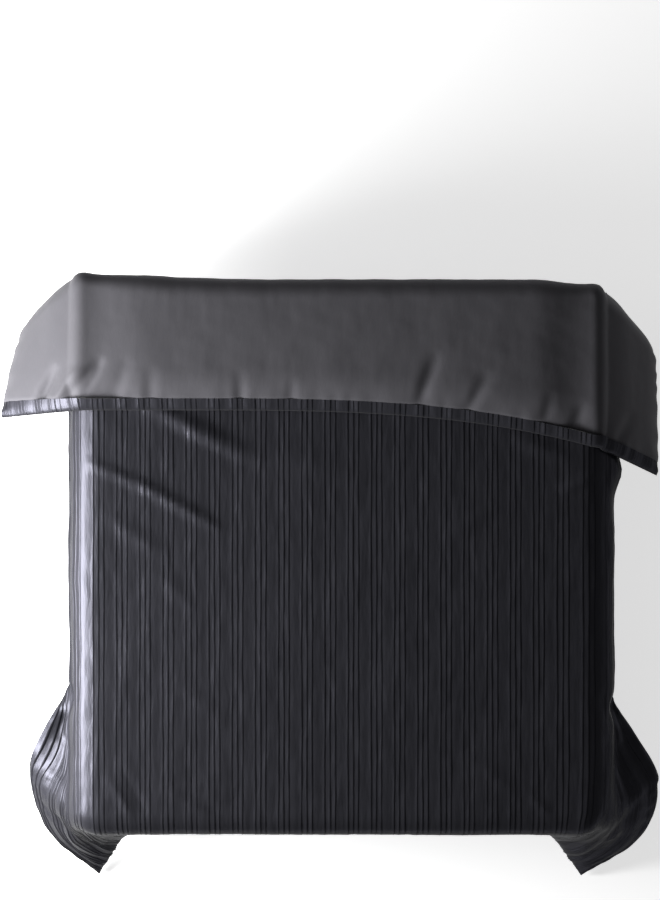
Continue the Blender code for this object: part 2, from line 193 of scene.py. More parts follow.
# Each crease holds the X and Y of its two ends, its width and its height, in metres.
BODY_CREASES = (
    (-0.60, 0.43, -0.20, 0.235, 0.020, 0.0095), (-0.46, 0.345, -0.24, 0.235, 0.010, 0.0040),
    (-0.70, 0.240, -0.49, 0.150, 0.012, 0.0080), (-0.57, 0.190, -0.31, 0.045, 0.013, 0.0085),
    (-0.66, 0.10, -0.46, -0.03, 0.022, 0.0040), (0.60, 0.155, 0.72, 0.205, 0.012, 0.0070),
    (0.47, 0.30, 0.64, 0.245, 0.020, 0.0055), (-0.49, -0.655, -0.33, -0.745, 0.012, 0.0030),
    (-0.44, -0.645, -0.30, -0.70, 0.010, 0.0025), (-0.40, -0.70, -0.24, -0.76, 0.009, -0.0020),
    (-0.30, 0.30, 0.10, 0.17, 0.035, 0.0025), (0.10, -0.35, 0.45, -0.46, 0.05, 0.0025),
    (-0.50, -0.795, -0.66, -0.93, 0.022, -0.0160), (0.50, -0.795, 0.66, -0.93, 0.022, -0.0140),
    (-0.715, -0.38, -0.80, -0.55, 0.018, -0.0190), (0.71, -0.40, 0.80, -0.52, 0.020, -0.0120),
    (-0.64, -0.62, -0.55, -0.76, 0.012, 0.0040), (-0.60, -0.60, -0.52, -0.74, 0.009, -0.0030),
    (-0.24, -0.60, 0.02, -0.70, 0.022, 0.0022), (-0.52, -0.05, -0.36, -0.20, 0.020, 0.0025),
    (-0.46, -0.36, -0.30, -0.48, 0.018, 0.0022), (0.28, 0.02, 0.44, 0.12, 0.022, 0.0025),
    (0.34, -0.56, 0.52, -0.70, 0.018, 0.0025), (0.50, -0.66, 0.60, -0.75, 0.010, 0.0035),
    (-0.86, -0.52, -0.70, -0.58, 0.014, -0.0050), (-0.88, -0.60, -0.72, -0.72, 0.018, 0.0060),
    (-0.86, -0.72, -0.70, -0.84, 0.014, -0.0050), (-0.80, -0.80, -0.66, -0.94, 0.016, 0.0060),
    (0.90, -0.54, 0.74, -0.60, 0.014, -0.0050), (0.90, -0.60, 0.74, -0.70, 0.016, 0.0060),
    (0.88, -0.70, 0.72, -0.84, 0.014, -0.0060), (0.82, -0.80, 0.66, -0.93, 0.016, 0.0060),
    (-0.755, 0.30, -0.74, -0.42, 0.010, 0.0030), (-0.745, 0.10, -0.72, -0.56, 0.008, -0.0030))
FLAP_CREASES = (
    (-0.507, 0.36, -0.515, 0.50, 0.018, -0.0035), (-0.272, 0.36, -0.265, 0.49, 0.016, -0.0035),
    (-0.134, 0.36, -0.125, 0.47, 0.014, -0.0030), (0.205, 0.36, 0.270, 0.54, 0.017, -0.0060),
    (0.33, 0.34, 0.41, 0.48, 0.016, -0.0045), (0.55, 0.30, 0.58, 0.43, 0.016, -0.0040),
    (-0.84, 0.36, -0.76, 0.50, 0.012, -0.0150), (-0.80, 0.36, -0.70, 0.50, 0.011, 0.0080),
    (-0.76, 0.36, -0.64, 0.52, 0.014, -0.0150), (-0.62, 0.40, -0.57, 0.52, 0.020, -0.0040),
    (0.62, 0.27, 0.67, 0.40, 0.016, -0.0050), (0.74, 0.24, 0.80, 0.38, 0.018, -0.0070))


def curve_through(knots: Array, values: Array, t: Array) -> Array:
    """A smooth curve through values at knots: cubic pieces whose end slopes are averaged.

    Args:
        knots: rising parameters.
        values: one row of numbers for each knot.
        t: parameters to read the curve at; they are kept inside the knots.

    Returns:
        One row for each t.
    """
    t = np.clip(t, knots[0], knots[-1])
    slopes = np.gradient(values, knots, axis=0)
    cell = np.clip(np.searchsorted(knots, t, side="right") - 1, 0, len(knots) - 2)
    width = knots[cell + 1] - knots[cell]
    s = ((t - knots[cell]) / width)[:, None]
    w = width[:, None]
    return ((1 + 2 * s) * (1 - s) ** 2 * values[cell] + s * (1 - s) ** 2 * w * slopes[cell]
            + s * s * (3 - 2 * s) * values[cell + 1] + s * s * (s - 1) * w * slopes[cell + 1])


def grid_lines(*runs: Run) -> Array:
    """One rising set of grid lines from several even runs, less lines nearer than the gap.

    Args:
        runs: each run's start, end and number of lines.
    """
    lines = np.unique(np.round(np.concatenate([np.linspace(*run) for run in runs]), 5))
    return lines[np.append(np.diff(lines) > LEAST_GAP, True)]


def stepped(*runs: tuple[float, float, float]) -> Array:
    """Grid lines from several runs, each with a start, an open end and a step."""
    return np.concatenate([np.arange(*run) for run in runs])


def ramp(x: Array, start: float, span: float) -> Array:
    """0 before the start and 1 a span later, by 3t^2 - 2t^3 between; a negative span falls."""
    t = np.clip((x - start) / span, 0.0, 1.0)
    return t * t * (3 - 2 * t)


def bell(x: Array, reach: float) -> Array:
    """1 at nought and falling both ways, by e to the power of minus the square of x / reach."""
    return np.exp(-(x / reach) ** 2)


def puckers(t: Array, pitch: float, swing: float, beat: float) -> Array:
    """A wave of a pitch, whose phase swings with a slower beat."""
    return np.sin(TURN * t / pitch + swing * np.sin(TURN * t / beat))


@dataclass
class BedDrape:
    """The duvet's middle surface over the bed, before it is relaxed.

    A point is named by u, across the cloth from its middle, and by a row q: 0 to 1 the flap,
    1 to 2 the fold, 2 to 3 the body, 3 to 4 the bend over the foot and 4 to 5 the foot drop.
    A pair of numbers is a ramp: where it starts and how far it takes.
    """

    size: DuvetSize
    foot_swing: Point = (-0.21, -0.28, -0.075)
    ease_share: float = 0.15
    end_sag: float = 0.0145
    sag_reach: float = 0.10
    right_fullness: float = 0.016
    flare: float = 0.028
    flare_y: float = 0.215
    flare_reach: float = 0.05
    sag_edge: float = 0.12
    drop_start: Ramp = (2.02, 0.08)
    drop_stop: Ramp = (3.12, -0.25)
    fuller_from: Ramp = (0.56, 0.18)
    flare_from: Ramp = (0.70, 0.12)
    flatness: float = 0.9
    flat_rows: Ramp = (2.15, -0.65)
    flat_from: Ramp = (0.0, 0.16)
    late_swing: float = 3.2
    late_row: float = 2.88
    late_reach: float = 0.12
    seam_fold: float = 0.25
    seam_shift: dict[Side, float] = field(
        default_factory=lambda: {Side.LEFT: 0.105, Side.RIGHT: 0.075})

    def ease(self, f: Array) -> Array:
        """A weight from 0 to 1 that starts level and then rises in a straight line."""
        k = self.ease_share
        return (np.sqrt(f * f + k * k) - k) / (math.sqrt(1 + k * k) - k)

    def flap_end(self, u: Array) -> Array:
        """Y of the flap's end: straight, then skew by a cube of u towards the right."""
        s = self.size
        return s.fold_y - s.flap - s.flap_skew * np.maximum(u - s.skew_from, 0) ** 3

    def fold_axis(self, u: Array) -> Array:
        """Y of the fold's axis: straight, then rising by a cube of u towards the left."""
        s = self.size
        return s.fold_y + s.fold_rise * np.maximum((s.rise_from - u) / s.rise_span, 0) ** 3

    def row_line(self, u: Array, q: Array) -> tuple[Array, Array, Array]:
        """Y, Z and height over the lower layer, between the sides: lines joined by two arcs."""
        s = self.size
        axis = self.fold_axis(u)
        turn = np.clip(q - 1, 0, 1) * math.pi
        bend = np.clip(q - 3, 0, 1) * math.pi / 2
        y = np.select(
            [q <= 1, q <= 2, q <= 3],
            [self.flap_end(u) + q * (axis - self.flap_end(u)), axis + s.fold_radius * np.sin(turn),
             axis + (q - 2) * (s.bend_y - axis)],
            s.bend_y - s.edge_radius * np.sin(bend))
        over = s.fold_radius * (1 + np.cos(turn))
        z = (s.half_loft + over - s.edge_radius * (1 - np.cos(bend))
             - s.foot_drop * np.clip(q - 4, 0, 1))
        return y, z, over

    def foot_share(self, q: Array) -> Array:
        """How much of the cloth past the foot bend's start lies above row q, from 0 to 1."""
        s = self.size
        length = s.quarter * np.clip(q - 3, 0, 1) + s.foot_drop * np.clip(q - 4, 0, 1)
        return length / (s.quarter + s.foot_drop)

    @staticmethod
    def round_edge(length: Array | float, radius: Array) -> tuple[Array, Array]:
        """How far out and how far down a length of cloth reaches, round an arc and then plumb."""
        turn = np.minimum(length / radius, math.pi / 2)
        plumb = np.maximum(length - radius * math.pi / 2, 0)
        return radius * np.sin(turn), radius * (1 - np.cos(turn)) + plumb

    def side_panel(self, side: Side, a: Array, q: Array) -> Array:
        """Cloth at a past the side bend: an arc, a plumb line, then its seam's swing.

        The flap and the fold are drawn taut instead: there the cloth is mixed with a straight
        line from the bend to the seam. Where the ear starts, the swing comes late in the drop.
        """
        s, sign = self.size, side.value
        y, z, over = self.row_line(np.full_like(q, sign * s.bend_x), np.minimum(q, 3.0))
        out, down = self.round_edge(a, s.edge_radius + over)
        end_out, end_down = self.round_edge(s.overhang, s.edge_radius + over)
        table = np.asarray(SEAM_SWING[side])
        beyond = self.foot_share(q) * (s.quarter + s.foot_drop)
        t = np.minimum(q, 3.0) + self.foot_share(q) * (table[-1, 0] - 3.0)
        swing = curve_through(table[:, 0], table[:, 1:], t) * s.overhang
        late = 1 + self.late_swing * bell(t - self.late_row, self.late_reach)
        weight = self.ease(a / s.overhang) ** late
        hung = np.stack([sign * (s.bend_x + out + weight * swing[:, 0]),
                         y - beyond * weight + weight * swing[:, 1],
                         z - down + weight * swing[:, 2]], axis=1)
        start = np.stack([0 * y + sign * s.bend_x, y, z], axis=1)
        seam = np.stack([sign * (s.bend_x + end_out + swing[:, 0]),
                         y - beyond + swing[:, 1], z - end_down + swing[:, 2]], axis=1)
        share = a / s.overhang
        flat = self.flatness * ramp(q, *self.flat_rows) * ramp(share, *self.flat_from)
        return hung + flat[:, None] * (start + share[:, None] * (seam - start) - hung)

    def foot_panel(self, u: Array, q: Array) -> Array:
        """The top and the foot drop, with the hem swung out towards the corners."""
        s = self.size
        y, z, _ = self.row_line(u, q)
        near = np.clip((np.abs(u) - s.zip_span) / (s.bend_x - s.zip_span), 0, 1) ** 1.5
        weight = near * self.ease(self.foot_share(q)) * s.overhang
        return np.stack([u + np.sign(u) * self.foot_swing[0] * weight,
                         y + self.foot_swing[1] * weight,
                         z + self.foot_swing[2] * weight], axis=1)

    def corner_panel(self, side: Side, a: Array, q: Array) -> Array:
        """The foot corner: the sum of two blends between opposite edges, less the corners'."""
        s = self.size
        fa, fb = (a / s.overhang)[:, None], self.foot_share(q)[:, None]
        hem = np.full_like(a, s.overhang)
        edge = np.full_like(a, side.value * s.bend_x)
        top, foot = np.full_like(q, 3.0), np.full_like(q, 5.0)
        corner, widest = self.side_panel(side, 0 * a, top), self.side_panel(side, hem, top)
        low, tip = self.foot_panel(edge, foot), self.side_panel(side, hem, foot)
        return ((1 - fa) * self.foot_panel(edge, q) + fa * self.side_panel(side, hem, q)
                + (1 - fb) * self.side_panel(side, a, top) + fb * (low + fa * (tip - low))
                - (1 - fa) * (1 - fb) * corner - fa * (1 - fb) * widest
                - (1 - fa) * fb * low - fa * fb * tip)

    def middle(self, u: Array, q: Array) -> Array:
        """The middle surface at arrays of u and q, as an array of points.

        The flap's end sags onto the body, and the right side drop is fuller under the flap.
        """
        s = self.size
        points = self.foot_panel(u, q)
        for side in Side:
            past = side.value * u - s.bend_x
            drop = (past > 0) & (q <= 3)
            points[drop] = self.side_panel(side, past[drop], q[drop])
            ear = (past > 0) & (q > 3)
            points[ear] = self.corner_panel(side, past[ear], q[ear])
        on_bed = ramp(np.abs(u), s.bend_x + self.sag_edge, -self.sag_edge)
        points[:, 2] -= self.end_sag * on_bed * (1 - ramp(q * s.flap, 0.0, self.sag_reach))
        side_rows = ramp(q, *self.drop_start) * ramp(q, *self.drop_stop)
        under_flap = bell(points[:, 1] - self.flare_y, self.flare_reach)
        points[:, 0] += side_rows * (self.right_fullness * ramp(u, *self.fuller_from)
                                     + self.flare * ramp(u, *self.flare_from) * under_flap)
        return points

    def cloth_length(self, u: float, q: Array) -> Array:
        """Length of cloth from the head end to row q, down the column at u.

        At the mattress's edge it is the row line's own length, and at the seam the flap is
        shorter and the fold longer, because the crease runs diagonally over the side.
        """
        s = self.size
        column = np.array(np.clip(u, -s.bend_x, s.bend_x))
        flap = float(self.fold_axis(column) - self.flap_end(column))
        total = s.length - s.quarter - s.foot_drop
        knots = np.array([0.0, 1.0, 2.0, 2.1, 3.0, 4.0, 5.0])
        body = total - flap - s.fold_arc
        inner = np.array([0.0, flap, flap + s.fold_arc, flap + s.fold_arc + 0.1 * body, total,
                          total + s.quarter, s.length])
        seam = inner.copy()
        seam[1] = flap - self.seam_shift[Side.LEFT if u < 0 else Side.RIGHT]
        seam[2] = seam[1] + self.seam_fold
        share = max(abs(u) - s.bend_x, 0.0) / s.overhang
        return np.interp(q, knots, (1 - share) * inner + share * seam)


@dataclass
class ClothSurface:
    """The middle surface on a regular grid of the cloth, relaxed where it hangs.

    The grid's lines are cloth lengths: columns u across and rows v down from the head end.
    """

    drape: BedDrape
    frames: int = 34
    most_shift: float = 0.05
    taut_to: float = 0.40
    held_margin: float = 0.01
    seam_width: float = 0.012
    seam_head: float = 0.50
    seam_foot: float = 0.62
    columns: Array = field(init=False)
    rows: Array = field(init=False)
    points: Array = field(init=False)

    def __post_init__(self) -> None:
        s = self.drape.size
        half = grid_lines((0.0, 0.66, 23), (0.66, 0.80, 12), (0.80, s.half_width, 12))
        self.columns = np.concatenate([-half[:0:-1], half])
        bend = s.length - s.quarter - s.foot_drop
        self.rows = grid_lines(
            (0.0, 0.20, 11), (0.20, 0.58, 39), (0.58, 1.20, 22), (1.20, bend - 0.03, 30),
            (bend - 0.03, bend + 0.09, 12), (bend + 0.09, s.length, 14))
        fine = np.linspace(0.0, 5.0, 2001)
        points = []
        for u in self.columns:
            q = np.interp(self.rows, self.drape.cloth_length(u, fine), fine)
            points.append(self.drape.middle(np.full_like(q, u), q))
        self.points = np.stack(points, axis=1)
        self.relax()

    def relax(self) -> None:
        """Let the hanging cloth settle over the mattress, with the top and the seams held."""
        sheet = grid_mesh("relaxing", self.points)
        guide = bpy.data.objects.new("relaxing", sheet)
        bpy.context.scene.collection.objects.link(guide)
        guide.shape_key_add(name="draped")
        flat = guide.shape_key_add(name="flat")
        u, v = np.meshgrid(self.columns, self.rows)
        cut = np.stack([u, -v, 0 * u], axis=2)
        flat.data.foreach_set("co", cut.reshape(-1))
        group = guide.vertex_groups.new(name="held")
        group.add(np.flatnonzero(self.holding(u, v)).tolist(), 1.0, "REPLACE")
        cloth = guide.modifiers.new("cloth", "CLOTH")
        for key, value in CLOTH.items():
            setattr(cloth.settings, key, value)
        cloth.settings.vertex_group_mass = group.name
        cloth.settings.rest_shape_key = flat
        cloth.settings.effector_weights.gravity = GRAVITY_SHARE
        cloth.collision_settings.use_collision = True
        cloth.collision_settings.distance_min = CONTACT
        cloth.point_cache.frame_start = 1
        cloth.point_cache.frame_end = self.frames
        block = self.mattress_block()
        scene = bpy.context.scene
        for step in range(1, self.frames + 1):
            scene.frame_set(step)
        settled = guide.evaluated_get(bpy.context.evaluated_depsgraph_get()).to_mesh()
        moved = np.empty(self.points.size, np.float32)
        settled.vertices.foreach_get("co", moved)
        shift = moved.reshape(self.points.shape).astype(float) - self.points
        far = np.linalg.norm(shift, axis=2, keepdims=True)
        shift *= np.minimum(1.0, self.most_shift / np.maximum(far, 1e-9))
        self.points = self.points + shift
        LOG.info("relaxed: mean shift %.1f mm, most %.1f mm", 1e3 * far.mean(), 1e3 * far.max())
        scene.frame_set(1)
        bpy.data.objects.remove(guide)
        bpy.data.objects.remove(block)

    def holding(self, u: Array, v: Array) -> Array:
        """Which points are held: the top, the head end, the hem's middle and the shaped seams."""
        s = self.drape.size
        aside, foot = np.abs(u), s.length - v
        edge = self.held_margin
        top = (aside < s.bend_x + s.quarter + edge) & (foot > s.foot_drop - edge)
        hem = (foot < 2 * edge) & (aside < s.zip_span + 2 * edge)
        seam = (aside > s.half_width - self.seam_width) & (
            (v < self.seam_head) | (foot < self.seam_foot))
        return top | hem | seam | (v < self.taut_to)

    def mattress_block(self) -> Object:
        """A block the size of the mattress and half the loft, for the cloth to rest against."""
        s = self.drape.size
        grow = s.clearance + s.half_loft - BLOCK_SHRINK
        low = np.array([-s.mattress_half - grow, s.mattress_foot - grow, -0.6])
        high = np.array([s.mattress_half + grow, s.fold_y, s.half_loft - BLOCK_SHRINK / 2])
        block = box_object("mattress_block", low, high)
        block.modifiers.new("collision", "COLLISION")
        block.collision.thickness_outer = CONTACT
        return block

    def sample(self, us: Array, vs: Array) -> Array:
        """Read the surface on a new grid of columns and rows, by cubic weights each way."""
        across = cubic_weights(self.columns, us)
        down = cubic_weights(self.rows, vs)
        part = np.tensordot(down, self.points, axes=(1, 0))
        return np.tensordot(part, across, axes=(1, 1)).transpose(0, 2, 1)


def cubic_weights(knots: Array, at: Array) -> Array:
    """Weights of each knot at each new place, for a smooth curve through the knots' values."""
    return curve_through(knots, np.eye(len(knots)), at)


def grid_mesh(name: str, points: Array) -> Mesh:
    """A mesh of quads on a grid of points, facing to the side that columns cross rows point to.

    Args:
        name: the mesh's name.
        points: an array of rows by columns by 3.
    """
    index = np.arange(points[..., 0].size).reshape(points.shape[:2])
    return quad_mesh(name, points.reshape(-1, 3), grid_quads(index))


def grid_quads(index: Array) -> Array:
    """The quads of a grid of vertex numbers, one row of four numbers each."""
    return np.stack([index[1:, :-1], index[1:, 1:], index[:-1, 1:], index[:-1, :-1]],
                    axis=2).reshape(-1, 4)


def quad_mesh(name: str, points: Array, quads: Array) -> Mesh:
    """A mesh from arrays of points and of quads, shaded smooth."""
    mesh = bpy.data.meshes.new(name)
    mesh.vertices.add(len(points))
    mesh.vertices.foreach_set("co", points.astype(np.float32).ravel())
    mesh.loops.add(quads.size)
    mesh.loops.foreach_set("vertex_index", quads.astype(np.int32).ravel())
    mesh.polygons.add(len(quads))
    mesh.polygons.foreach_set("loop_start", np.arange(0, quads.size, 4, dtype=np.int32))
    mesh.update(calc_edges=True)
    mesh.validate()
    mesh.shade_smooth()
    return mesh


def box_object(name: str, low: Array, high: Array) -> Object:
    """A plain box between two corners, linked to the scene."""
    corners = np.array([[x, y, z] for x in (0, 1) for y in (0, 1) for z in (0, 1)], float)
    faces = np.array([[0, 1, 3, 2], [4, 6, 7, 5], [0, 4, 5, 1], [2, 3, 7, 6], [0, 2, 6, 4],
                      [1, 5, 7, 3]])
    mesh = quad_mesh(name, low + corners * (high - low), faces)
    mesh.shade_flat()
    thing = bpy.data.objects.new(name, mesh)
    bpy.context.scene.collection.objects.link(thing)
    return thing


@dataclass
class Loft:
    """How far each layer stands from the middle surface, and where it is pressed down.

    A pair of numbers is a ramp down the cloth: where it starts and how far it takes.
    """

    size: DuvetSize
    shoulder: float = 0.0171
    shoulder_at: float = 0.033
    shoulder_reach: float = 0.069
    shoulder_head: Ramp = (0.46, 0.05)
    shoulder_foot: Ramp = (0.12, 0.25)
    press: float = 0.013
    press_at: float = -0.02
    press_reach: float = 0.17
    press_rows: Ramp = (0.50, -0.06)

    def half(self, u: Array, v: Array) -> Array:
        """Half the thickness: a quarter ellipse in from each seam, then level.

        The foot seam keeps the zip's opening over its middle.
        """
        s = self.size
        near = np.minimum(s.half_width - np.abs(u), np.minimum(v, s.length - v))
        roll = np.clip(near / s.edge_roll, 0, 1)
        open_share = np.clip((s.bend_x - np.abs(u)) / (s.bend_x - s.zip_span), 0, 1)
        at_foot = np.clip(1 - (s.length - v) / s.insert_inset, 0, 1)
        seam = s.zip_half_opening * open_share * at_foot
        return seam + (s.half_loft - seam) * np.sqrt(1 - (1 - roll) ** 2)

    def past_bend(self, u: Array, at: float, reach: float) -> Array:
        """1 at a distance past the side bend's start and 0 out of reach: a parabola, cubed."""
        return np.clip(1 - ((np.abs(u) - self.size.bend_x - at) / reach) ** 2, 0, 1) ** 3

    def pressed(self, u: Array, v: Array, reverse: bool) -> Array:
        """How far the body's face, or the flap's reverse, is pressed at the bed's side edges."""
        if reverse:
            across = self.past_bend(u, self.press_at, self.press_reach)
            return self.press * across * ramp(v, *self.press_rows)
        across = self.past_bend(u, self.shoulder_at, self.shoulder_reach)
        along = ramp(v, *self.shoulder_head) * ramp(self.size.length - v, *self.shoulder_foot)
        return self.shoulder * across * along


@dataclass
class SoftUneven:
    """Gentle unevenness of filled cloth: a fixed sum of plane waves over the cloth."""

    seed: int = 11
    waves: int = 26
    shortest: float = 0.10
    longest: float = 0.55

    def height(self, x: Array, y: Array) -> Array:
        """The waves' sum at each place, about -1 to 1."""
        rng = np.random.default_rng(self.seed)
        total = np.zeros_like(x)
        for _ in range(self.waves):
            span = self.shortest * (self.longest / self.shortest) ** rng.random()
            heading = rng.random() * math.pi
            phase = rng.random() * 2 * math.pi
            along = np.cos(heading) * x + np.sin(heading) * y
            total += (span / self.longest) ** 0.7 * np.sin(2 * math.pi * along / span + phase)
        return total / math.sqrt(self.waves)


def crease_height(creases: tuple[tuple[float, ...], ...], x: Array, y: Array) -> Array:
    """Height of a set of creases at each place in the bed's plan.

    Each crease is a bell across its line, fading towards both of the line's ends.

    Args:
        creases: for each one, its line's start and end, its width and its height.
        x: the places' X.
        y: the places' Y.
    """
    total = np.zeros_like(x)
    for start_x, start_y, end_x, end_y, width, height in creases:
        dx, dy = end_x - start_x, end_y - start_y
        length = math.hypot(dx, dy)
        t = ((x - start_x) * dx + (y - start_y) * dy) / length ** 2
        off = ((x - start_x) * dy - (y - start_y) * dx) / length
        total += height * np.clip(1 - (2 * t - 1) ** 2, 0, 1) * bell(off, width)
    return total


@dataclass
class TuckPattern:
    """Stitched tucks down the cloth: groups of three narrow ridges with a plain band between."""

    period: float = 0.0635
    spacing: float = 0.0143
    per_group: int = 3
    height: float = 0.0008
    first: float = -0.9895
    wander: float = 0.0011
    band: tuple[float, float] = (0.35, 0.68)
    edge_gap: float = 0.0015
    # Each profile column: its offset, its height share and its share of the painted shade in the
    # grooves.
    profile: tuple[tuple[float, float, float], ...] = (
        (-0.0034, 0.0, 0.0), (-0.0008, 1.0, 0.0), (0.0006, -0.5, 1.0), (0.0026, 0.0, 0.0))

    def columns(self, half_width: float) -> tuple[Array, Array, Array]:
        """The grid's columns with each one's height share and its share of the painted shade in the
        stitched grooves.
        """
        last = (self.per_group - 1) * self.spacing
        group = [(number * self.spacing + offset, share, groove_shade_share)
                 for number in range(self.per_group) for offset, share, groove_shade_share in self.profile]
        group += [(last + part * (self.period - last), 0.0, 0.0) for part in self.band]
        table = np.array([(start + place, share, groove_shade_share)
                          for start in np.arange(self.first, half_width, self.period)
                          for place, share, groove_shade_share in group]).T
        table = table[:, np.abs(table[0]) < half_width - self.edge_gap]
        seam = np.array([[half_width], [0.0], [0.0]])
        return tuple(np.concatenate([-seam, table, seam], axis=1))


@dataclass
class Layer:
    """Lays cloth on the surface: a grid of columns and rows raised along the normal."""

    surface: ClothSurface
    loft: Loft
    step_u: float = 0.006
    step_v: float = 0.004

    def frame_of(self, us: Array, vs: Array) -> tuple[Array, Array]:
        """Points and unit normals of the middle surface on a grid, towards the cover's face."""
        sample, size = self.surface.sample, self.loft.size
        across = (sample(np.minimum(us + self.step_u, size.half_width), vs)
                  - sample(np.maximum(us - self.step_u, -size.half_width), vs))
        along = (sample(us, np.maximum(vs - self.step_v, 0))
                 - sample(us, np.minimum(vs + self.step_v, size.length)))
        normal = np.cross(across, along)
        normal /= np.maximum(np.linalg.norm(normal, axis=2, keepdims=True), 1e-9)
        return sample(us, vs), normal


def add_piece(name: str, mesh: Mesh, finish: Material) -> Object:
    """Link a finished mesh as a piece with its material."""
    mesh.materials.clear()
    mesh.materials.append(finish)
    piece = bpy.data.objects.new(name, mesh)
    bpy.context.scene.collection.objects.link(piece)
    LOG.info("%s: %d faces", name, len(mesh.polygons))
    return piece


def add_attribute(mesh: Mesh, name: str, values: Array) -> None:
    """Give the mesh a number at each vertex, for its material to read."""
    layer = mesh.attributes.new(name, "FLOAT", "POINT")
    layer.data.foreach_set("value", values.astype(np.float32).ravel())


def add_uv(mesh: Mesh, u: Array, v: Array) -> None:
    """Give the mesh a UV map in metres of cloth, from u and v at each vertex."""
    loops = np.empty(len(mesh.loops), np.int32)
    mesh.loops.foreach_get("vertex_index", loops)
    flat = np.stack([u.ravel()[loops], v.ravel()[loops]], axis=1)
    mesh.uv_layers.new(name="cloth").data.foreach_set("uv", flat.astype(np.float32).ravel())


class Socket:
    """A shader value that takes part in plain arithmetic."""

    def __init__(self, graph: "Graph", link: NodeSocket) -> None:
        """Wrap an output socket of the graph."""
        self.graph = graph
        self.link = link

    def _math(self, operation: str, *values: object) -> "Socket":
        """A Math node on this value and others."""
        return self.graph.node("ShaderNodeMath", {"operation": operation}, dict(enumerate(values)))

    def __add__(self, other: object) -> "Socket":
        """The sum."""
        return self._math("ADD", self, other)

    def __mul__(self, other: object) -> "Socket":
        """The product."""
        return self._math("MULTIPLY", self, other)

    def __sub__(self, other: object) -> "Socket":
        """The difference."""
        return self._math("SUBTRACT", self, other)

    def __rsub__(self, other: object) -> "Socket":
        """A number less this value."""
        return self._math("SUBTRACT", other, self)

    __radd__ = __add__
    __rmul__ = __mul__

    def power(self, exponent: float) -> "Socket":
        """This value raised to a power."""
        return self._math("POWER", self, exponent)


class Graph:
    """Builds one material's nodes."""

    def __init__(self, name: str) -> None:
        """Start a material with its Principled shader."""
        self.material = bpy.data.materials.new(name)
        self.material.use_nodes = True
        self.tree = self.material.node_tree
        self.shader = self.tree.nodes["Principled BSDF"]

    def node(self, kind: str, settings: dict[str, object] | None = None,
             inputs: dict[object, object] | None = None, output: object = 0) -> Socket:
        """Add a node, set it up and link or set its inputs.

        Args:
            kind: the node's type.
            settings: properties set before the inputs.
            inputs: values or sockets by input name or number.
            output: the output to return, by name or number.

        Returns:
            The chosen output.
        """
        made = self.tree.nodes.new(kind)
        for key, value in (settings or {}).items():
            setattr(made, key, value)
        for key, value in (inputs or {}).items():
            self.feed(made.inputs[key], value)
        return Socket(self, made.outputs[output])

    def feed(self, socket: NodeSocket, value: object) -> None:
        """Link a wrapped output to an input, or set the input's own value."""
        if isinstance(value, Socket):
            self.tree.links.new(value.link, socket)
        else:
            socket.default_value = value

    def set(self, **inputs: object) -> None:
        """Set or link the shader's inputs, named with underscores for spaces."""
        for key, value in inputs.items():
            self.feed(self.shader.inputs[key.replace("_", " ")], value)

    def attribute(self, name: str) -> Socket:
        """A number that the mesh carries at its vertices."""
        return self.node("ShaderNodeAttribute", {"attribute_name": name}, output="Fac")

    def uv(self, *scale: float) -> Socket:
        """The cloth's UV map, in metres, times a scale."""
        return self.scaled(self.node("ShaderNodeUVMap", {"uv_map": "cloth"}), scale)

    def objects(self, scale: float) -> Socket:
        """Object coordinates, in metres, times one scale."""
        return self.scaled(self.node("ShaderNodeTexCoord", output="Object"), (scale,) * 3)

    def scaled(self, place: Socket, scale: tuple[float, ...]) -> Socket:
        """A place times a scale each way."""
        return self.node("ShaderNodeMapping", inputs={"Vector": place, "Scale": scale})

    def bands(self, place: Socket, direction: str, pitch: float, stray: float = 0.0) -> Socket:
        """A wave along one axis of a place, 0 to 1, with one band in each pitch."""
        return self.node("ShaderNodeTexWave",
                         {"wave_type": "BANDS", "bands_direction": direction},
                         {"Vector": place, "Scale": BAND_SCALE / pitch, "Distortion": stray}, "Fac")

    def noise(self, vector: Socket, detail: float = 3.0) -> Socket:
        """Smooth noise, 0 to 1."""
        return self.node("ShaderNodeTexNoise", inputs={"Vector": vector, "Scale": 1.0,
                                                       "Detail": detail}, output="Fac")

    def mix(self, factor: object, first: object, second: object) -> Socket:
        """A colour between two."""
        return self.node("ShaderNodeMix", {"data_type": "RGBA"}, {0: factor, 6: first, 7: second},
                         2)

    def shades(self, factor: object, colour: Colour, low: float, high: float) -> Socket:
        """A colour between a darker and a lighter shade of one colour."""
        return self.mix(factor, *((*(min(1.0, share * c) for c in colour), 1)
                                  for share in (low, high)))

    def bump(self, height: Socket, strength: float, distance: float,
             normal: Socket | None = None) -> Socket:
        """A normal bent by a height."""
        under = {} if normal is None else {"Normal": normal}
        return self.node("ShaderNodeBump", inputs={"Height": height, "Strength": strength,
                                                   "Distance": distance, **under})


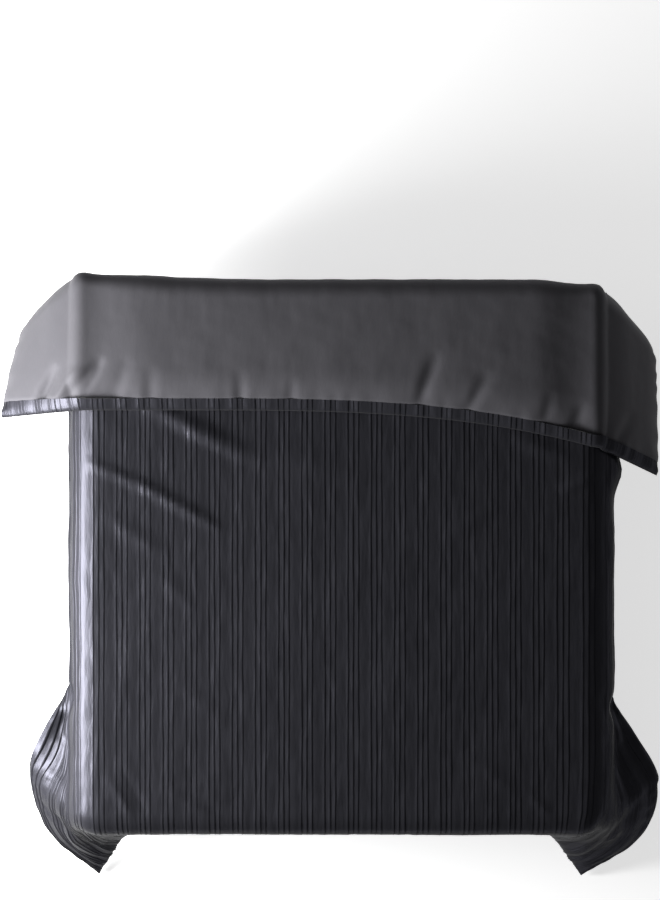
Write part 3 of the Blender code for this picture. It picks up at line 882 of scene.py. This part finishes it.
@dataclass(frozen=True)
class Sateen:
    """A satin-woven cotton: fine weave, slubs, cloudy tone, a soft sheen and, when tucked, painted
    shade in the grooves.

    Its lustre is a metallic share with a dark edge tint, because the floats of a satin weave
    shine in their own colour and don't glare where the cloth turns away.
    """

    name: str
    colour: Colour
    # Colour of the painted shade in the tucks' stitched grooves.
    groove_shade_colour: Colour
    roughness: float
    sheen: float
    lustre: float
    mottle: float = 0.35
    weave: float = 0.0005
    stitch: float = 0.0028
    stray: float = 0.6
    tucked: bool = False

    def build(self) -> Material:
        """Make the material; threads follow the cloth's own UV map."""
        g = Graph(self.name)
        threads = g.bands(g.uv(1, 1, 1), "X", self.weave, self.stray)
        filling = g.bands(g.uv(1, 1, 1), "Y", self.weave, self.stray)
        slubs = g.noise(g.uv(1400, 60, 1), 2.0)
        clouds = g.noise(g.uv(5, 3, 1), 3.0)
        fuzz = g.noise(g.uv(600, 600, 1), 2.0)
        colour = g.mix(clouds * 0.35, g.shades(slubs, self.colour, 0.82, 1.16), (*self.colour, 1))
        rough = self.roughness + (fuzz - 0.5) * 0.10 + (clouds - 0.5) * 0.08
        normal = g.bump(threads * 0.5 + filling * 0.5 + slubs * 0.6, 0.10, 0.0002)
        if self.tucked:
            # Painted shade: the colour darkens in the tucks' stitched grooves, by the mesh's mask;
            # the same mask roughens the cloth there and carries the stitch bump.
            seam = g.attribute("groove_shade").power(1.5)
            colour = g.mix(seam * 0.75, colour, (*self.groove_shade_colour, 1))
            rough = rough + seam * 0.12
            stitches = g.bands(g.uv(1, 1, 1), "Y", self.stitch)
            normal = g.bump(stitches * seam, 0.25, 0.0006, normal)
        normal = g.bump(g.noise(g.uv(70, 14, 1), 3.0), self.mottle, 0.004, normal)
        g.set(Base_Color=colour, Roughness=rough, Normal=normal, Sheen_Weight=self.sheen,
              Sheen_Roughness=0.45, Specular_IOR_Level=0.08, Metallic=self.lustre,
              Specular_Tint=(0.0, 0.0, 0.0, 1.0))
        return g.material


@dataclass(frozen=True)
class Plain:
    """A simple woven or moulded finish with a fine grain."""

    name: str
    colour: Colour
    roughness: float = 0.7
    metallic: float = 0.0
    grain: float = 900.0
    relief: float = 0.0002

    def build(self) -> Material:
        """Make the material; its grain follows object coordinates."""
        g = Graph(self.name)
        grain = g.noise(g.objects(self.grain), 3.0)
        clouds = g.noise(g.objects(30), 2.0)
        g.set(Base_Color=g.shades(clouds, self.colour, 0.85, 1.12),
              Roughness=self.roughness + (grain - 0.5) * 0.15,
              Normal=g.bump(grain, 0.15, self.relief), Metallic=self.metallic)
        return g.material


@dataclass(frozen=True)
class ZipCoil:
    """A moulded zip coil: a turn every pitch along X, with a shine on each turn from its lower
    roughness, and painted shade in the gaps between one turn and the next.
    """

    name: str = "black_coil"
    colour: Colour = (0.025, 0.025, 0.028)
    pitch: float = 0.0016

    def build(self) -> Material:
        """Make the material; each turn is a band of a wave along the object's X, and its colour is
        painted shade, darkest in the gaps.
        """
        g = Graph(self.name)
        turns_and_shade = g.bands(g.objects(1), "X", self.pitch)
        # Painted shade: the colour falls to a third of the coil's own in the gaps between one turn
        # and the next; the roughness and bump follow the coil's real relief.
        g.set(Base_Color=g.shades(turns_and_shade, self.colour, 0.3, 1.0),
              Roughness=0.55 - turns_and_shade * 0.25, Normal=g.bump(turns_and_shade, 0.8, 0.0007))
        return g.material


@dataclass
class Cover:
    """The duvet's cover: a tucked face that wraps the head end, and a plain reverse."""

    layer: Layer
    tucks: TuckPattern = field(default_factory=TuckPattern)
    uneven: SoftUneven = field(default_factory=SoftUneven)
    crumple: SoftUneven = field(default_factory=lambda: SoftUneven(5, 30, 0.022, 0.07))
    folds: SoftUneven = field(default_factory=lambda: SoftUneven(8, 16, 0.06, 0.16))
    uneven_height: float = 0.0016
    crumple_face: float = 0.00045
    crumple_reverse: float = 0.0002
    crumple_aside: float = 0.0014
    fold_height: float = 0.0050
    pleat_height: float = 0.0022
    end_height: float = 0.0013
    room: float = 0.08
    plan_low: float = -0.22
    least_share: float = 0.15
    on_flap: Ramp = (0.44, -0.08)
    on_body: Ramp = (0.47, 0.06)
    aside: Ramp = (0.69, 0.05)
    at_ears: Ramp = (1.72, 0.12)
    ridge_rows: Ramp = (0.45, 0.05)
    ridge_aside: float = 1.4
    lip: float = 0.0015
    reverse_gap: float = 0.0012
    seam_gap: float = 0.0016

    def wrinkles(self, points: Array, u: Array, v: Array, reverse: bool) -> Array:
        """Height of creases and unevenness to add on the side that shows."""
        s = self.layer.loft.size
        inset = s.half_width - np.abs(u)
        near = np.minimum(inset, np.minimum(np.maximum(v, 0), s.length - v))
        soft = self.uneven_height * self.uneven.height(u, v)
        soft += (self.crumple_reverse if reverse else self.crumple_face) * self.crumple.height(u, v)
        if not reverse:
            folds = self.fold_height * self.folds.height(u, 0.45 * v) * ramp(v, *self.at_ears)
            soft += (self.crumple_aside * self.crumple.height(u, 0.35 * v)
                     + folds) * ramp(np.abs(u), *self.aside)
        creases, rows = (FLAP_CREASES, self.on_flap) if reverse else (BODY_CREASES, self.on_body)
        lines = crease_height(creases, points[..., 0], points[..., 1]) * ramp(v, *rows)
        lines *= points[..., 2] > self.plan_low
        pleats = puckers(v, 0.055, 2.2, 0.31) * bell(inset, 0.035) * ramp(inset, 0.0, 0.012)
        ends = puckers(u, 0.062, 2.0, 0.27) * bell(np.minimum(np.abs(v), s.length - v), 0.045)
        return (soft * ramp(near, 0.0, self.room) + lines + self.pleat_height * pleats
                + self.end_height * ends)

    def heights(self, points: Array, u: Array, v: Array, reverse: bool) -> Array:
        """How far one panel stands from the middle surface, with its creases."""
        loft = self.layer.loft
        half = loft.half(u, v)
        full = half + self.wrinkles(points, u, v, reverse) - loft.pressed(u, v, reverse)
        return np.maximum(full, self.least_share * half)

    def build_face(self, finish: Material) -> Object:
        """The face: middle surface plus half the loft, the creases and the tucks' ridges.

        Its rows start under the rolled head end, where they lie on the reverse's side. Each
        ridge wavers in height and wanders sideways, by sines of its place down the cloth.
        """
        s = self.layer.loft.size
        us, rise, groove_shade = self.tucks.columns(s.half_width)
        rows = np.concatenate([
            [-s.head_wrap, -0.024, -0.015, -0.008, -0.003, 0.0, 0.003, 0.009, 0.018, 0.030],
            stepped((0.045, 0.20, 0.02), (0.20, 0.58, 0.0075), (0.58, s.length - 0.40, 0.0125),
                    (s.length - 0.40, s.length - 0.03, 0.0125)),
            s.length - FOOT_ROWS])
        points, normal = self.layer.frame_of(us, np.abs(rows))
        u, v = np.meshgrid(us, np.abs(rows))
        head = rows == 0.0
        half = np.where(head[:, None], 0.0, self.heights(points, u, v, False))
        fade = ramp(s.half_width - np.abs(u), 0.0, 0.01)
        waver = 1 + 0.22 * np.sin(TURN * v / 0.19 + 37 * u) * np.sin(TURN * v / 0.53 + 11 * u)
        aside = ramp(np.abs(u), *self.aside) * ramp(v, *self.ridge_rows)
        ridge = self.tucks.height * rise * waver * fade * (1 + self.ridge_aside * aside)
        ridge = np.where(head[:, None], 0.6 * ridge, ridge)
        sign = np.where(rows < 0, -1.0, 1.0)[:, None]
        placed = points + normal * (sign * (half + ridge))[..., None]
        group = (u - self.tucks.first) / self.tucks.spacing
        wander = (np.sin(TURN * v / 0.46 + 1.7 * group)
                  + 0.5 * np.sin(TURN * v / 0.15 + 2.9 * group))
        wander *= 0.6 * self.tucks.wander * fade
        placed += np.gradient(points, us, axis=1) * wander[..., None]
        out = points[0] - points[int(np.argmax(rows > 0.05))]
        out /= np.linalg.norm(out, axis=1, keepdims=True)
        placed[head] += out * (self.lip + ridge[head][0])[:, None]
        mesh = grid_mesh("cover_face_tucked", placed)
        # The mask of the tucks' grooves, for the material's painted shade and its stitch bump.
        add_attribute(mesh, "groove_shade", np.broadcast_to(groove_shade, u.shape))
        add_uv(mesh, u, np.broadcast_to(rows[:, None], u.shape))
        return add_piece("cover_face_tucked", mesh, finish)

    def build_reverse(self, finish: Material) -> Object:
        """The reverse: middle surface less half the loft, from the wrapped head end to the foot."""
        s = self.layer.loft.size
        edge = s.half_width - np.array([0, 0.002, 0.006, 0.012])
        us = np.unique(np.concatenate([np.linspace(-1, 1, 241) * (s.half_width - 0.02), edge,
                                       -edge]))
        rows = np.concatenate([
            s.head_wrap + np.array([0.0, 0.0015, 0.004, 0.009]),
            stepped((0.050, 0.20, 0.009), (0.20, 0.58, 0.0075), (0.58, s.length - 0.03, 0.0135)),
            s.length - FOOT_ROWS])
        points, normal = self.layer.frame_of(us, rows)
        u, v = np.meshgrid(us, rows)
        gap = self.reverse_gap - self.seam_gap * (1 - ramp(v, s.head_wrap, 0.004))
        placed = points - normal * (self.heights(points, u, v, True) + gap)[..., None]
        mesh = grid_mesh("cover_reverse_plain", placed[::-1])
        add_uv(mesh, u[::-1], v[::-1])
        return add_piece("cover_reverse_plain", mesh, finish)


@dataclass
class Insert:
    """The duvet inside the cover: two ticking shells, quilted into channels, and their filling."""

    layer: Layer
    cover: Cover
    slack: float = 0.0045
    wall: float = 0.0014
    edge_roll: float = 0.07
    quilting: tuple[float, ...] = (-0.98, -0.6935, -0.48, -0.24, 0.0, 0.24, 0.48, 0.6935, 0.98)
    dip: float = 0.0055
    dip_width: float = 0.011
    stitch: float = 0.004
    end_room: float = 0.012
    least: float = 0.00005

    def height(self, points: Array, u: Array, v: Array, reverse: bool) -> Array:
        """One shell's height: the cover's less the slack.

        Each quilting line dips it by a bell, and its edge closes by a quarter ellipse.
        """
        s = self.layer.loft.size
        room = np.minimum(s.half_width - np.abs(u), np.minimum(v, s.length - v)) - s.insert_inset
        roll = np.clip(room / self.edge_roll, 0, 1)
        outer = self.cover.heights(points, u, v, reverse)
        full = np.maximum(outer - self.slack, 0.5 * outer)
        for line in self.quilting[1:-1]:
            full = full - self.dip * bell(u - line, self.dip_width)
        return np.maximum(full, 0.25 * outer) * np.sqrt(1 - (1 - roll) ** 2)

    def lines(self) -> tuple[Array, Array]:
        """The shells' columns, denser at the quilting lines, and their rows."""
        s = self.layer.loft.size
        near = np.array([-0.016, -0.008, -0.003, 0.0, 0.003, 0.008, 0.016])
        lines = [line + near for line in self.quilting[1:-1]]
        edge = s.insert_inset + np.array([0.0, 0.002, 0.007, 0.015])
        ends = s.half_width - edge
        us = np.unique(np.concatenate(lines + [np.arange(-0.96, 0.961, 0.02), ends, -ends]))
        middle = stepped((0.048, 0.20, 0.019), (0.20, 0.58, 0.0095),
                         (0.58, s.length - 0.045, 0.019))
        return us, np.concatenate([edge, middle, s.length - edge[::-1]])

    def build_shell(self, name: str, reverse: bool, finish: Material) -> Object:
        """One shell, as an open sheet on its own side of the middle surface."""
        us, rows = self.lines()
        points, normal = self.layer.frame_of(us, rows)
        u, v = np.meshgrid(us, rows)
        sign = -1.0 if reverse else 1.0
        placed = points + sign * normal * self.height(points, u, v, reverse)[..., None]
        order = slice(None, None, -1) if reverse else slice(None)
        mesh = grid_mesh(name, placed[order])
        add_uv(mesh, u[order], v[order])
        return add_piece(name, mesh, finish)

    def build_channel(self, number: int, finish: Material) -> Object:
        """One channel of filling: a pillow between the shells, closed along all its edges."""
        s = self.layer.loft.size
        low, high = self.quilting[number] + self.stitch, self.quilting[number + 1] - self.stitch
        count = max(9, int(round((high - low) / 0.018)))
        share = (1 - np.cos(np.linspace(0, math.pi, count))) / 2
        us = low + (high - low) * (0.5 * share + 0.5 * np.linspace(0, 1, count))
        start = s.insert_inset + self.end_room
        stop = s.length - start
        edge = np.array([0.0, 0.003, 0.010])
        rows = np.concatenate([start + edge, stepped((0.05, 0.20, 0.02), (0.20, 0.58, 0.0127),
                                                     (0.58, stop - 0.012, 0.026)),
                               stop - edge[::-1]])
        points, normal = self.layer.frame_of(us, rows)
        u, v = np.meshgrid(us, rows)
        side = np.clip(np.minimum(u - low, high - u) / 0.028, 0, 1)
        end = np.clip(np.minimum(v - start, stop - v) / 0.03, 0, 1)
        closed = np.sqrt(1 - (1 - side) ** 2) * np.sqrt(1 - (1 - end) ** 2)
        sides = []
        for reverse in (False, True):
            shell = self.height(points, u, v, reverse)
            height = np.maximum(shell - self.wall, 0.6 * shell) * closed
            height = np.where(closed > 0, np.maximum(height, self.least), 0.0)
            sides.append(points + (-1 if reverse else 1) * normal * height[..., None])
        name = f"filling_pad_{number + 1}"
        return add_piece(name, closed_pair(name, *sides), finish)


def closed_pair(name: str, upper: Array, lower: Array) -> Mesh:
    """A closed mesh from two grids of points whose edges coincide."""
    index = np.arange(upper[..., 0].size).reshape(upper.shape[:2])
    below = index + index.size
    edge = np.ones_like(index, bool)
    edge[1:-1, 1:-1] = False
    below[edge] = index[edge]
    points = np.concatenate([upper.reshape(-1, 3), lower.reshape(-1, 3)])
    quads = np.concatenate([grid_quads(index), grid_quads(below)[:, ::-1]])
    used, flat = np.unique(quads, return_inverse=True)
    return quad_mesh(name, points[used], flat.reshape(-1, 4))


@dataclass
class Ribbons:
    """The cover's corner ties, the insert's loops that they hold, and a blank care label."""

    layer: Layer
    thickness: float = 0.0005
    bow: float = 0.0011
    steps: int = 13
    width: float = 0.006
    label_length: float = 0.030
    label_above: float = 0.104

    def lay(self, name: str, us: tuple[float, float], vs: tuple[float, float],
            finish: Material) -> Object:
        """A ribbon doubled back on itself: out along U, round its end and back.

        The path rises and falls by half a sine of its share, so its two runs part in the
        middle and meet at the root.
        """
        there = np.linspace(0, 1, self.steps)
        share = np.concatenate([there, there[::-1]])
        lift = self.bow * np.sin(math.pi * there ** 0.7)
        height = np.concatenate([lift, -lift[::-1]])
        line_u = us[0] + (us[1] - us[0]) * there
        line_v = np.linspace(vs[0], vs[1], 7)
        points, normal = self.layer.frame_of(np.sort(line_u), line_v)
        if us[1] < us[0]:
            points, normal = points[:, ::-1], normal[:, ::-1]
        pick = np.concatenate([np.arange(self.steps), np.arange(self.steps)[::-1]])
        placed = points[:, pick] + normal[:, pick] * height[None, :, None]
        mesh = grid_mesh(name, placed if us[1] > us[0] else placed[::-1])
        u, v = np.meshgrid(share * abs(us[1] - us[0]), line_v)
        add_uv(mesh, u, v)
        piece = add_piece(name, mesh, finish)
        wall = piece.modifiers.new("wall", "SOLIDIFY")
        wall.thickness = self.thickness
        wall.offset = 0.0
        return piece


@dataclass(frozen=True)
class AreaLight:
    """One rectangular soft light that faces a point."""

    name: str
    place: Point
    aim: Point
    width: float
    height: float
    power: float

    def build(self) -> None:
        """Make the light and turn it to its aim."""
        data = bpy.data.lights.new(self.name, "AREA")
        data.shape = "RECTANGLE"
        data.size, data.size_y, data.energy = self.width, self.height, self.power
        light = bpy.data.objects.new(self.name, data)
        light.location = self.place
        facing = Vector(self.aim) - Vector(self.place)
        light.rotation_euler = facing.to_track_quat("-Z", "Y").to_euler()
        bpy.context.scene.collection.objects.link(light)


@dataclass
class Studio:
    """Plain pale floor, soft light from the left and a camera straight above."""

    floor_z: float
    floor_half: float = 9.0
    floor_wall: float = 0.02
    floor_glow: float = 0.62
    sky: float = 0.12
    camera_height: float = 6.0
    centre: tuple[float, float] = (-0.0235, 0.268)
    view_height: float = 2.486
    sensor: float = 36.0
    lights: tuple[AreaLight, ...] = (
        AreaLight("low_strip", (-2.2, -0.34, 0.58), (-0.7, -0.34, 0.0), 1.3, 0.95, 178),
        AreaLight("left_soft", (-1.75, 0.2, 1.0), (-0.1, 0.1, 0.0), 2.0, 0.7, 12))

    def build(self) -> None:
        """Make the floor, the lights, the world and the camera."""
        reach = self.floor_half
        floor = box_object("floor", np.array([-reach, -reach, self.floor_z - self.floor_wall]),
                           np.array([reach, reach, self.floor_z]))
        g = Graph("pale_floor")
        g.set(Base_Color=g.mix(g.noise(g.objects(3), 2.0), (0.90, 0.90, 0.90, 1),
                               (0.93, 0.93, 0.93, 1)),
              Roughness=0.9, Emission_Color=(1.0, 1.0, 1.0, 1), Emission_Strength=self.floor_glow)
        floor.data.materials.append(g.material)
        for light in self.lights:
            light.build()
        scene = bpy.context.scene
        scene.world = bpy.data.worlds.new("studio")
        scene.world.use_nodes = True
        background = scene.world.node_tree.nodes["Background"]
        background.inputs["Color"].default_value = (1.0, 1.0, 1.0, 1)
        background.inputs["Strength"].default_value = self.sky
        scene.view_settings.view_transform = "Standard"
        lens = bpy.data.cameras.new("overhead")
        lens.sensor_width = self.sensor
        lens.lens = self.sensor * self.camera_height / self.view_height
        lens.clip_end = 10 * self.camera_height
        camera = bpy.data.objects.new("overhead", lens)
        camera.location = (*self.centre, self.camera_height)
        scene.collection.objects.link(camera)
        scene.camera = camera


def main() -> None:
    """Build every piece, dress the frame's own nodes and report what was made."""
    logging.basicConfig(level=logging.INFO, format="%(name)s: %(message)s")
    size = DuvetSize()
    surface = ClothSurface(BedDrape(size))
    layer = Layer(surface, Loft(size))
    cover = Cover(layer)
    face_finish = Sateen("tucked_anthracite", (0.040, 0.040, 0.048), (0.005, 0.005, 0.007),
                         0.36, 0.02, 0.6, tucked=True).build()
    reverse_finish = Sateen("plain_charcoal", (0.088, 0.086, 0.095), (0.03, 0.03, 0.03),
                            0.58, 0.03, 0.15, mottle=0.05).build()
    face = cover.build_face(face_finish)
    reverse = cover.build_reverse(reverse_finish)
    ticking = Plain("white_ticking", (0.80, 0.80, 0.78), 0.8).build()
    fibre = Plain("white_fibre", (0.85, 0.85, 0.83), 0.95, grain=260.0, relief=0.0015).build()
    insert = Insert(layer, cover)
    upper = insert.build_shell("insert_ticking_upper", False, ticking)
    lower = insert.build_shell("insert_ticking_lower", True, ticking)
    flat_insert = (size.width - 2 * size.insert_inset, size.length - 2 * size.insert_inset)
    for piece, node, slot, flat, under in (
            (face, "cover_face", "tucked_face", (size.width, size.length + size.head_wrap),
             upper.name),
            (reverse, "cover_reverse", "plain_reverse",
             (size.width, size.length - size.head_wrap), lower.name),
            (upper, "insert_shell_upper", "ticking", flat_insert, "filling_pad_4"),
            (lower, "insert_shell_lower", "ticking", flat_insert, reverse.name)):
        belongs(piece, node, slot)
    for number in range(len(insert.quilting) - 1):
        pad = insert.build_channel(number, fibre)
        belongs(pad, f"filling_channel_{number + 1}", "filling")
    build_ribbons(layer, size)
    dress_frame(frame["nodes"])
    Studio(floor_z=CAD_BOX[0][2] - FLOOR_GAP).build()


def belongs(piece: Object, node: str, slot: str) -> None:
    """Let a piece ride with the duvet and stand for a node of the frame."""
    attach(piece, "duvet")
    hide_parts(node)


def build_ribbons(layer: Layer, size: DuvetSize) -> None:
    """Lay the loops, ties and label where the frame has them, in the four corners."""
    tape = Plain("grey_tape", (0.10, 0.10, 0.11), 0.75).build()
    white_tape = Plain("white_tape", (0.8, 0.8, 0.78), 0.75).build()
    paper = Plain("blank_label", (0.85, 0.85, 0.85), 0.6).build()
    ribbons = Ribbons(layer)
    edge = size.half_width - size.insert_inset
    rows = {"head": size.insert_inset + 0.001, "foot": size.length - size.insert_inset - 0.010}
    for end, row in rows.items():
        for side in Side:
            name = f"{end}_{side.name.lower()}"
            for piece, node, reach, finish in (
                    ("corner_loop", "insert_loop", (0.0003, 0.0046), white_tape),
                    ("corner_tie", "cover_tie", (0.016, 0.0050), tape)):
                us = (side.value * (edge + reach[0]), side.value * (edge + reach[1]))
                ribbon = ribbons.lay(f"{piece}_{name}", us, (row, row + ribbons.width), finish)
                belongs(ribbon, f"{node}_{name}", "ribbon")
    row = size.length - size.insert_inset - ribbons.label_above
    label = ribbons.lay("sewn_label", (edge + 0.0003, edge + 0.0093),
                        (row - ribbons.label_length, row), paper)
    belongs(label, "care_label", "label")


def dress_frame(nodes: dict[str, Object]) -> None:
    """Give the frame's own nodes their finishes, by the start of each node's name."""
    white = Plain("white_ticking", (0.80, 0.80, 0.78), 0.8).build()
    tape = Plain("black_tape", (0.02, 0.02, 0.022), 0.75).build()
    steel = Plain("plated_metal", (0.35, 0.35, 0.36), 0.3, 1.0).build()
    coil = ZipCoil().build()
    for name, node in nodes.items():
        if name.startswith(("zip_slider", "zip_pull", "zip_stop")):
            finish = steel
        elif name.startswith("zip_teeth"):
            finish = coil
        elif name.startswith(("zip_", "cover_tie")):
            finish = tape
        else:
            finish = white
        node.data.materials.clear()
        node.data.materials.append(finish)


if __name__ == "__main__":
    main()
